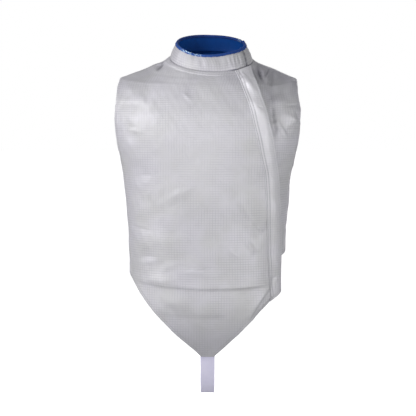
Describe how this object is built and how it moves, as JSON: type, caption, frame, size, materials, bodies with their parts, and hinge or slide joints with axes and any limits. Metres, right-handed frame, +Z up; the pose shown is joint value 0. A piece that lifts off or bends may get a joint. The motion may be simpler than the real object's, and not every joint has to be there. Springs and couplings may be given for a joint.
{
  "type": "foil lame",
  "caption": "Worn, hollow sleeveless fencing vest of metal cloth with a standing collar, a side placket, a V front and a crotch strap.",
  "frame": {"origin": "in the middle of the neck opening at the level of the shoulder seams, where the wearer's shoulders hold the vest up", "axes": "+Z up, -Y the front, +X the wearer's left"},
  "size_m": [0.3812, 0.2418, 0.7563],
  "materials": {
    "metal_cloth": "fine grid of silver metal thread, soft metallic sheen",
    "lining": "matt blue woven lining",
    "binding": "blue folded braid",
    "zip_tape": "grey woven tape with plastic teeth",
    "slider_metal": "satin cast metal",
    "strap_elastic": "pale lavender woven elastic"
  },
  "bodies": {
    "root": {"front_panel": "metal_cloth", "left_front_panel": "metal_cloth", "back_panel": "metal_cloth", "placket": "metal_cloth", "collar": "metal_cloth", "collar_lining": "lining", "collar_binding": "binding", "zip": "zip_tape", "zip_slider": "slider_metal", "crotch_strap": "strap_elastic"}
  },
  "joints": []
}
